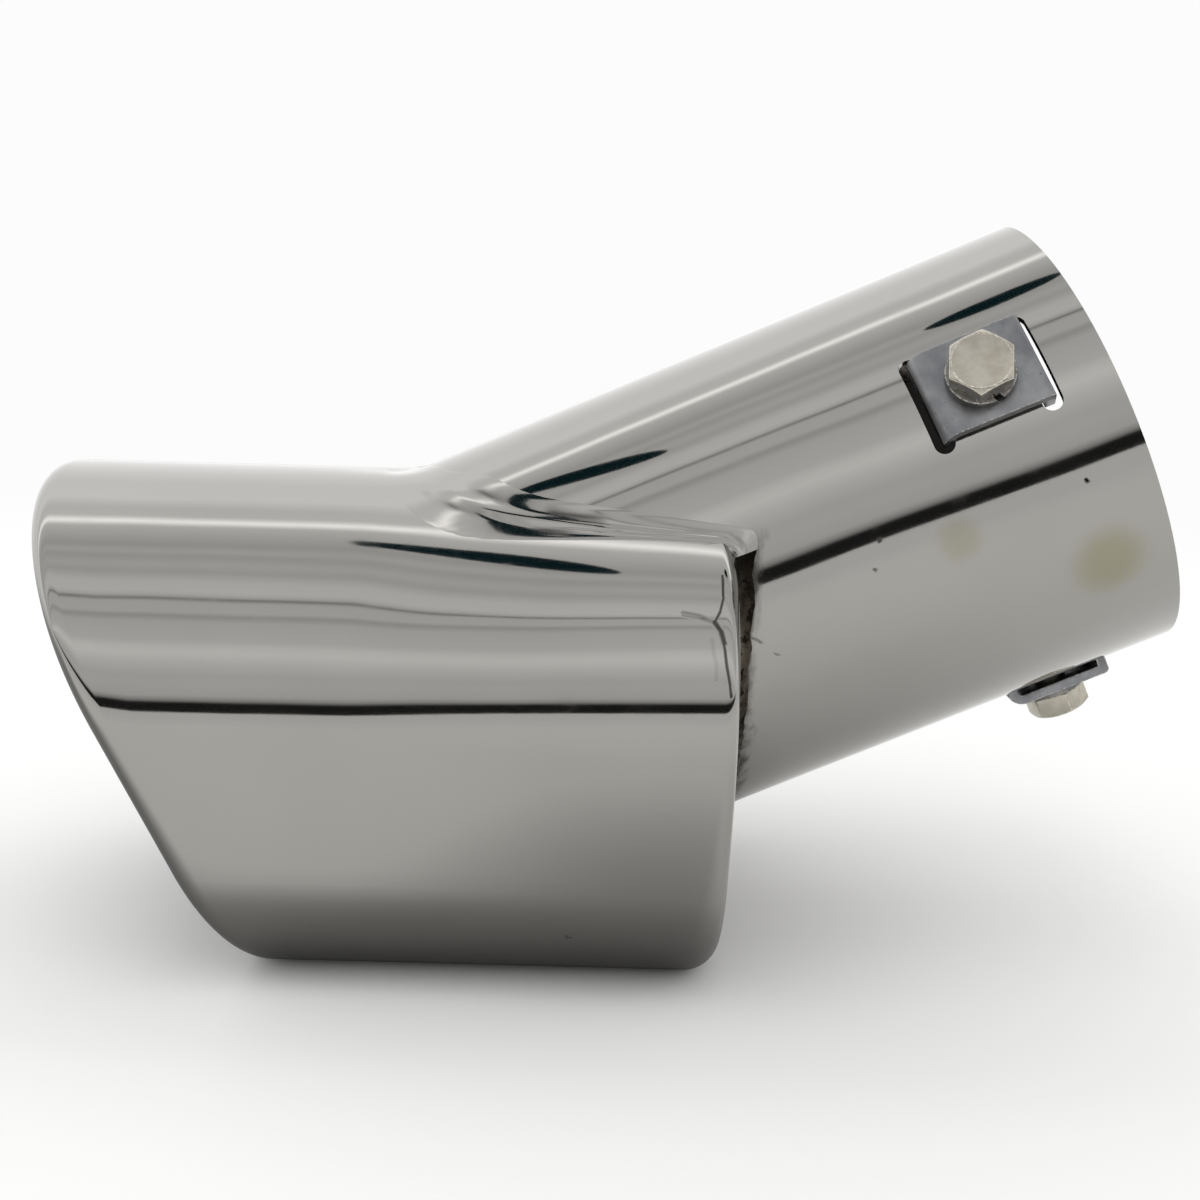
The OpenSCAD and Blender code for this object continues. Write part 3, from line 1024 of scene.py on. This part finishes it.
        bm = grid_through(columns, self.rows, place)
        ridge_flank_shade = bm.verts.layers.float.new("ridge_flank_shade")
        soot_and_painted_shade = bm.verts.layers.float.new("soot_and_painted_shade")
        for vert in bm.verts:
            vert[ridge_flank_shade] = marks.get(tuple(round(c, 3) for c in vert.co), 0.0)
            past_end = self.turn_of(vert.co) - self.ground_end
            vert[soot_and_painted_shade] = smooth(1 - past_end / self.soot_end)
        bmesh.ops.recalc_face_normals(bm, faces=bm.faces)
        probe = max(bm.faces, key=lambda f: f.calc_center_median().length)
        way = probe.calc_center_median()
        way -= self.sizes.axis * way.dot(self.sizes.axis)
        probe.normal_update()
        if probe.normal.dot(way) < 0:
            bmesh.ops.reverse_faces(bm, faces=bm.faces)
        return finished(name, bm, material)


@dataclass
class Fastening:
    """One clip with its spring washer and bolt, from the solids."""

    number: int
    clip_edge: float = 0.3
    washer_edge: float = 0.2
    bolt_edge: float = 0.28
    sharp: float = math.radians(28)
    flat_within: float = math.radians(0.6)
    shaded_sharp: float = math.radians(32)

    def softened(self, node: bpy.types.Object, name: str, edge: float,
                 material: bpy.types.Material) -> bpy.types.Object:
        """Copies a node, merges its triangles and rounds its edges.

        Args:
            node: the CAD node.
            name: the new piece's name.
            edge: rounding of its edges in millimetres.
            material: its finish.

        Returns:
            The piece, with the rounded edges marked as worn.
        """
        bm = bmesh.new()
        bm.from_mesh(node.data)
        bmesh.ops.remove_doubles(bm, verts=bm.verts, dist=MERGE)
        bmesh.ops.dissolve_limit(
            bm, angle_limit=self.flat_within, verts=bm.verts,
            edges=bm.edges, use_dissolve_boundaries=False)
        edges = [e for e in bm.edges if e.is_manifold
                 and e.calc_face_angle() > self.sharp]
        made = bmesh.ops.bevel(
            bm, geom=edges, offset=edge * MM, offset_type="OFFSET",
            segments=3, profile=0.5, affect="EDGES", clamp_overlap=True,
            material=-1)
        worn = bm.loops.layers.float.new("worn")
        for face in made["faces"]:
            for loop in face.loops:
                loop[worn] = 1.0
        bmesh.ops.triangulate(bm, faces=[f for f in bm.faces
                                         if len(f.verts) > 4])
        piece = finished(name, bm, material, 1.0)
        piece.data.set_sharp_from_angle(angle=self.shaded_sharp)
        return piece

    def build(self, nodes: dict[str, bpy.types.Object],
              finishes: dict[str, bpy.types.Material]) -> None:
        """Makes the three pieces and fits them to their bodies."""
        k = self.number
        for kind, name, body, edge, slot in (
                ("clamp_clip", "strip_clip", "clip", self.clip_edge,
                 "clip_steel"),
                ("spring_washer", "split_washer", "clip", self.washer_edge,
                 "bolt_steel"),
                ("clamp_bolt", "hex_bolt", "bolt", self.bolt_edge,
                 "bolt_steel")):
            node = nodes[f"{kind}_{k}"]
            piece = self.softened(node, f"{name}_{k}", edge, finishes[kind])
            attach(piece, f"{body}_{k}")
            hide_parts(node.name)
            LOG.info("%s: %d faces", piece.name, len(piece.data.polygons))


@dataclass
class Studio:
    """Floor, camera, lamp and the pale room that the steel mirrors."""

    camera_at: Point = (-87.69, -294.74, 20.60)
    yaw: float = 0.0018169
    pitch: float = 0.182659
    roll: float = 0.0269990
    lens: float = 47.70
    floor_size: float = 12.0
    floor_colour: str = "#F4F4F3"
    floor_gap: float = 0.02
    white: str = "#FCFCFC"
    # places and sizes in metres, of the floor's painted shadow and the lamp
    floor_fades: tuple[float, float] = (0.2, 0.8)
    shade_near: tuple[float, float] = (-0.115, -0.035)
    shade_rear: tuple[float, float] = (-0.035, -0.075)
    shade_depth: float = 0.66
    tip_middle: Point = (-0.08, 0, -0.05)
    lamp_at: Point = (-0.45, -0.5, 1.3)
    lamp_size: float = 1.2
    lamp_power: float = 3.0
    # brightness of the room by the angle above the near horizon, which turns
    # over the top at 90 and reaches the far horizon at 180
    room: tuple[tuple[float, float], ...] = (
        (0.0, 0.02), (5.6, 0.02), (7.2, 0.5), (10.0, 0.86), (17.0, 0.92),
        (22.0, 0.90), (29.0, 1.05), (36.0, 1.25), (40.0, 1.18), (44.0, 1.0),
        (56.0, 0.92), (60.0, 0.68), (62.5, 0.94), (68.6, 0.92), (69.5, 0.25),
        (70.6, 0.92), (73.0, 1.12), (78.0, 1.08), (83.0, 0.82), (87.0, 0.92),
        (91.5, 0.78), (94.5, 0.92), (98.0, 0.76), (104.0, 0.93), (110.0, 1.1),
        (113.2, 2.3), (116.5, 1.2), (122.0, 1.15), (129.0, 1.42),
        (142.0, 1.26), (180.0, 1.22))
    room_top: float = 3.0
    bars: tuple[tuple[Point, Point, float], ...] = (
        ((-141.0, -14.5, 50.0), (-100.0, -34.0, 50.0), 9.6),
        ((-55.0, -19.5, 100.0), (-23.0, -19.5, 100.0), 11.0))

    def camera(self) -> bpy.types.Object:
        """Sets the camera at the photograph's place."""
        cp, sp = math.cos(self.pitch), math.sin(self.pitch)
        cy, sy = math.cos(self.yaw), math.sin(self.yaw)
        ahead = Vector((sy * cp, cy * cp, -sp))
        flat = Vector((cy, -sy, 0))
        over = flat.cross(ahead)
        right = math.cos(self.roll) * flat + math.sin(self.roll) * over
        up = -math.sin(self.roll) * flat + math.cos(self.roll) * over
        data = bpy.data.cameras.new("photo_camera")
        data.lens = self.lens
        data.sensor_width = 36.0
        data.sensor_fit = "HORIZONTAL"
        data.clip_start = 0.01
        data.clip_end = 50.0
        obj = bpy.data.objects.new("photo_camera", data)
        turn = Matrix((right, up, -ahead)).transposed().to_4x4()
        obj.matrix_world = Matrix.Translation(
            Vector(self.camera_at) * MM) @ turn
        bpy.context.scene.collection.objects.link(obj)
        bpy.context.scene.camera = obj
        return obj

    def floor(self) -> bpy.types.Object:
        """Lays the pale floor, which turns plain white far from the tip."""
        mat, g = blank_material("pale_studio_floor")
        place = g.add("ShaderNodeTexCoord").outputs["Object"]
        under = (self.tip_middle[0], 0, SIZES.ground * MM)
        away = g.vector("DISTANCE", {0: place, 1: under}).outputs[1]
        parts = g.add("ShaderNodeSeparateXYZ", {0: place}).outputs
        # painted shadow: under the outlet the floor is darker to glossy rays
        # alone
        shade = g.math("MULTIPLY", g.band(parts[1], *self.shade_near),
                       g.band(parts[0], *self.shade_rear))
        mirrored = g.add("ShaderNodeLightPath").outputs["Is Glossy Ray"]
        shade = g.math("MULTIPLY", g.math("MULTIPLY", shade, mirrored),
                       self.shade_depth)
        matt = g.add("ShaderNodeBsdfDiffuse", {"Color": g.blend(
            shade, linear(self.floor_colour), (0, 0, 0, 1))}).outputs[0]
        plain = g.add("ShaderNodeEmission",
                      {"Color": linear(self.white), "Strength": 1.0}).outputs[0]
        mixed = g.add("ShaderNodeMixShader",
                      {0: g.band(away, *self.floor_fades), 1: matt, 2: plain})
        g.add("ShaderNodeOutputMaterial", {0: mixed.outputs[0]})
        bm = bmesh.new()
        bmesh.ops.create_grid(bm, x_segments=1, y_segments=1,
                              size=self.floor_size / MM)
        bmesh.ops.translate(bm, vec=(0, 0, SIZES.ground - self.floor_gap),
                            verts=bm.verts)
        floor = finished("studio_floor", bm, mat)
        return floor

    def world(self) -> None:
        """Makes the pale room: plain white to the camera, banded to steel."""
        world = bpy.data.worlds.new("pale_room")
        world.use_nodes = True
        g = Graph(world.node_tree)
        way = g.add("ShaderNodeTexCoord").outputs["Generated"]
        parts = g.add("ShaderNodeSeparateXYZ", {0: way}).outputs
        angle = g.math("ARCTAN2", parts[2], g.math("MULTIPLY", parts[1], -1.0))
        share = g.math("DIVIDE", angle, math.pi, clamp=True)
        ramp = g.add("ShaderNodeValToRGB", {0: share})
        stops = ramp.color_ramp.elements
        for i, (degrees, level) in enumerate(self.room):
            stop = stops[i] if i < 2 else stops.new(degrees / 180)
            stop.position = degrees / 180
            stop.color = (*(level / self.room_top,) * 3, 1)
        room = g.add("ShaderNodeBackground",
                     {"Color": ramp.outputs[0],
                      "Strength": self.room_top}).outputs[0]
        plain = g.add("ShaderNodeBackground",
                      {"Color": linear(self.white), "Strength": 1.0}).outputs[0]
        seen = g.add("ShaderNodeLightPath").outputs["Is Camera Ray"]
        mixed = g.add("ShaderNodeMixShader", {0: seen, 1: room, 2: plain})
        g.add("ShaderNodeOutputWorld", {0: mixed.outputs[0]})
        bpy.context.scene.world = world

    def lamp(self) -> None:
        """Hangs one large soft lamp over the tip, unseen in the steel."""
        data = bpy.data.lights.new("soft_key", "AREA")
        data.shape = "DISK"
        data.size = self.lamp_size
        data.energy = self.lamp_power
        obj = bpy.data.objects.new("soft_key", data)
        obj.location = self.lamp_at
        aim = Vector(self.tip_middle) - obj.location
        obj.rotation_euler = aim.to_track_quat("-Z", "Y").to_euler()
        obj.visible_glossy = False
        bpy.context.scene.collection.objects.link(obj)

    def dark_bars(self) -> None:
        """Hangs dark teal bars over the tip, which only the steel shows."""
        mat, g = blank_material("dark_teal_bar")
        glow = g.add("ShaderNodeEmission", {"Color": linear("#0E2A30"),
                                            "Strength": 1.0}).outputs[0]
        g.add("ShaderNodeOutputMaterial", {0: glow})
        for number, (low, high, width) in enumerate(self.bars, 1):
            run = Vector(high) - Vector(low)
            bm = bmesh.new()
            bmesh.ops.create_circle(bm, cap_ends=True, segments=48, radius=0.5)
            bmesh.ops.scale(bm, vec=(run.length, width, 1), verts=bm.verts)
            turn = Matrix.Rotation(math.atan2(run.y, run.x), 3, "Z")
            bmesh.ops.rotate(bm, matrix=turn, verts=bm.verts)
            bmesh.ops.translate(bm, vec=(Vector(low) + Vector(high)) / 2,
                                verts=bm.verts)
            bar = finished(f"dark_bar_{number}", bm, mat)
            for kind in ("camera", "diffuse", "shadow", "transmission"):
                setattr(bar, f"visible_{kind}", False)

    def build(self) -> None:
        """Sets up the whole studio."""
        self.camera()
        self.floor()
        self.dark_bars()
        self.world()
        self.lamp()
        bpy.context.scene.view_settings.view_transform = "Standard"


def main() -> None:
    """Builds and dresses the tip, then the studio around it."""
    logging.basicConfig(level=logging.INFO)
    nodes = frame["nodes"]
    outlet = OutletShell()
    shell = outlet.build(OUTLET_FINISH.make())
    tube = InletTube().build(nodes["inlet_tube"], TUBE_FINISH.make())
    weld = TubeWeld(outlet)
    valley = weld.build(Side.GROUND, VALLEY_FINISH.make())
    bead = weld.build(Side.ROUGH, BEAD_FINISH.make())
    for piece, node, slot in ((shell, "outlet_shell", "polished_steel"),
                              (tube, "inlet_tube", "polished_steel"),
                              (valley, "weld_seam", "weld"),
                              (bead, "weld_seam", "weld")):
        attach(piece, "tip")
        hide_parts(node)
        LOG.info("%s: %d faces", piece.name, len(piece.data.polygons))
    finishes = {"clamp_clip": CLIP_FINISH.make(),
                "spring_washer": WASHER_FINISH.make(),
                "clamp_bolt": BOLT_FINISH.make()}
    for number in (1, 2, 3):
        Fastening(number).build(nodes, finishes)
    Studio().build()


if __name__ == "__main__":
    main()
